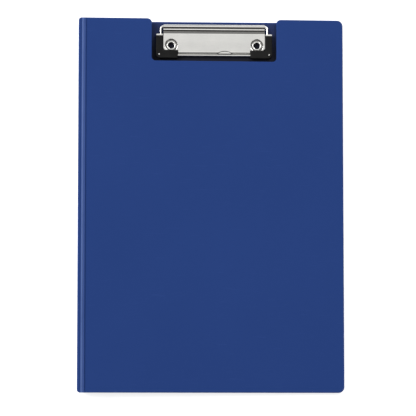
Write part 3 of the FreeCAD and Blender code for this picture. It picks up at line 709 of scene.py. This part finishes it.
def build_bow():
    """Spring wire in one closed loop: its axle in the roll, two legs and the bar."""
    corners = [(-LEG_LINE, ROLL_LINE), (-LEG_LINE, BAR_LINE),
               (LEG_LINE, BAR_LINE), (LEG_LINE, ROLL_LINE)]
    radii = [SHOULDER_BEND, CORNER_BEND, CORNER_BEND, SHOULDER_BEND]
    path = rounded_path(corners, radii, closed=True)
    path = divided(path + path[:1], 3.0)[:-1]
    sides = 28
    points, faces = [], []
    for index, at in enumerate(path):
        run = (path[(index + 1) % len(path)] - path[index - 1]).normalized()
        out = Vector((run.y, -run.x, 0))
        for side in range(sides):
            angle = 2 * math.pi * side / sides
            spot = Vector((at.x, at.y, ROLL_HIGH)) + (
                out * math.cos(angle) + Vector((0, 0, 1)) * math.sin(angle)) * WIRE
            points.append(CLIP + spot * MM)
    for index in range(len(path)):
        near = index * sides
        far = (index + 1) % len(path) * sides
        for side in range(sides):
            following = (side + 1) % sides
            faces.append([near + side, far + side, far + following, near + following])
    piece = mesh_piece("wire_bow_drawn", points, faces, WIRE_STEEL, "bow")
    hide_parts("wire_bow")


# ---------------------------------------------------------------- folds of the cover

def build_fold(name, hinge, upward):
    """Thin foil that wraps the outer corner of a fold."""
    edge = hinges[hinge]
    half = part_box("spine_skin")[1].y - 0.4 * MM
    bend, skin, tail = 0.85, 0.3, 1.15
    sunk = 0.03
    steps = 9
    section = [(2 * sunk, tail + 0.5), (sunk, tail)]
    for step in range(steps + 1):
        angle = math.pi / 2 * step / steps
        section.append((bend - bend * math.cos(angle), bend - bend * math.sin(angle)))
    section += [(tail, sunk), (tail + 0.5, 2 * sunk)]
    parts = 24
    stations = [-half + 2 * half * part / parts for part in range(parts + 1)]
    outer, bore_floor_shade = [], []
    for index, at in enumerate(section):
        ahead = Vector(section[min(index + 1, len(section) - 1)])
        behind = Vector(section[max(index - 1, 0)])
        run = (ahead - behind).normalized()
        within = Vector(at) + Vector((-run.y, run.x)).normalized() * skin
        for grid, (x, z) in ((outer, at), (bore_floor_shade, within)):
            place = edge + Vector((x, 0, -upward * z)) * MM
            grid.append([(place.x, station, place.z) for station in stations])
    points, faces = layered_sheet(outer, bore_floor_shade, lambda row, column: True)
    piece = mesh_piece(name, points, faces, BLUE)
    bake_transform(piece)


build_plate()
build_rivet("left")
build_rivet("right")
build_bow()
build_fold("front_fold", "front_crease", 1)
build_fold("rear_fold", "rear_crease", -1)


# ---------------------------------------------------------------- stage

FLOOR_HALF = 6.0
FLOOR_DROP = 0.2 * MM
FLOOR_GLOW = 0.6

# Brightness of the room by tilt from straight up, in degrees towards +Y.
ROOM = [(-90, 0.7), (-30, 1.0), (-2, 1.0), (3, 0.80), (8, 0.77), (15, 1.0), (40, 1.0),
        (47, 0.22), (86, 0.22), (90, 0.6)]

# Dark panels low in front and to the right: direction, and inner and outer half-angle.
PANELS = [((0.05, -0.84, 0.54), 30, 33), ((0.85, -0.28, 0.46), 36, 39)]
PANEL_BRIGHTNESS = 0.15


def build_floor():
    """Wide pale table, faintly uneven, under the object."""
    paper = Finish("pale_floor")
    cloud = paper.noise(3.0, 3.0, 0.5)
    colour = paper.mix(cloud, opaque(0.80, 0.80, 0.80), opaque(0.83, 0.83, 0.83))
    normal = paper.bump(paper.noise(700.0, 3.0, 0.6), 0.1, 0.05 * MM)
    paper.finish(colour, paper.spread(cloud, 0.3, 0.7, 0.8, 0.9), normal, specular=0.1)
    paper.shader.inputs["Emission Color"].default_value = opaque(1.0, 1.0, 1.0)
    paper.shader.inputs["Emission Strength"].default_value = FLOOR_GLOW
    work = bmesh.new()
    bmesh.ops.create_grid(work, x_segments=24, y_segments=24, size=FLOOR_HALF)
    mesh = bpy.data.meshes.new("floor")
    work.to_mesh(mesh)
    work.free()
    mesh.materials.append(paper.material)
    floor = bpy.data.objects.new("floor", mesh)
    floor.location = (0, 0, -FLOOR_DROP)
    bpy.context.scene.collection.objects.link(floor)


def build_world():
    """Studio room, shaded by direction so that the bright metal shows its bends."""
    world = bpy.data.worlds.new("studio_room")
    world.use_nodes = True
    bpy.context.scene.world = world
    tree = world.node_tree

    def add(kind, operation=None):
        node = tree.nodes.new(kind)
        if operation:
            node.operation = operation
        return node

    direction = add("ShaderNodeTexCoord").outputs["Generated"]
    parts = add("ShaderNodeSeparateXYZ")
    tree.links.new(direction, parts.inputs["Vector"])
    tilt = add("ShaderNodeMath", "ARCTAN2")
    tree.links.new(parts.outputs["Y"], tilt.inputs[0])
    tree.links.new(parts.outputs["Z"], tilt.inputs[1])
    share = add("ShaderNodeMapRange")
    share.inputs["From Min"].default_value = -math.pi / 2
    share.inputs["From Max"].default_value = math.pi / 2
    tree.links.new(tilt.outputs[0], share.inputs["Value"])
    ramp = add("ShaderNodeValToRGB")
    elements = ramp.color_ramp.elements
    elements.remove(elements[1])
    for number, (angle, grey) in enumerate(ROOM):
        at = angle / 180 + 0.5
        element = elements[0] if number == 0 else elements.new(at)
        element.position = at
        element.color = (grey, grey, grey * 0.985, 1.0)
    tree.links.new(share.outputs["Result"], ramp.inputs["Fac"])

    light = ramp.outputs["Color"]
    for toward, bore_floor_shade, outer in PANELS:
        facing = add("ShaderNodeVectorMath", "DOT_PRODUCT")
        tree.links.new(direction, facing.inputs[0])
        facing.inputs[1].default_value = Vector(toward).normalized()
        panel = add("ShaderNodeMapRange")
        panel.inputs["From Min"].default_value = math.cos(math.radians(outer))
        panel.inputs["From Max"].default_value = math.cos(math.radians(bore_floor_shade))
        panel.inputs["To Min"].default_value = 1.0
        panel.inputs["To Max"].default_value = PANEL_BRIGHTNESS
        tree.links.new(facing.outputs["Value"], panel.inputs["Value"])
        dimmed = add("ShaderNodeMixRGB")
        dimmed.blend_type = "MULTIPLY"
        dimmed.inputs["Fac"].default_value = 1.0
        tree.links.new(light, dimmed.inputs["Color1"])
        tree.links.new(panel.outputs["Result"], dimmed.inputs["Color2"])
        light = dimmed.outputs["Color"]
    background = tree.nodes["Background"]
    tree.links.new(light, background.inputs["Color"])
    background.inputs["Strength"].default_value = 1.0


def add_light(name, place, side, power):
    """Square soft light aimed at the middle of the folder."""
    light = bpy.data.lights.new(name, "AREA")
    light.shape = "RECTANGLE"
    light.size = side
    light.size_y = side
    light.energy = power
    lamp = bpy.data.objects.new(name, light)
    lamp.location = place
    aim = Vector((0, 0.02, 0)) - Vector(place)
    lamp.rotation_euler = aim.to_track_quat("-Z", "Y").to_euler()
    bpy.context.scene.collection.objects.link(lamp)


def add_camera():
    """Camera high above the folder, a little below its middle and to its left."""
    lens = bpy.data.cameras.new("camera")
    lens.lens = 203.4
    lens.sensor_width = 36.0
    lens.clip_end = 50.0
    camera = bpy.data.objects.new("camera", lens)
    camera.location = (-0.0896, -0.1904, 2.0)
    camera.rotation_euler = (0.0937, -0.0436, 0.0001)
    bpy.context.scene.collection.objects.link(camera)
    bpy.context.scene.camera = camera


build_floor()
build_world()
add_light("key_upper_left", (-1.7, 0.9, 1.8), 1.4, 40.0)
add_light("fill_upper_right", (1.3, 1.6, 1.8), 1.3, 26.0)
add_camera()
bpy.context.scene.view_settings.view_transform = "Standard"
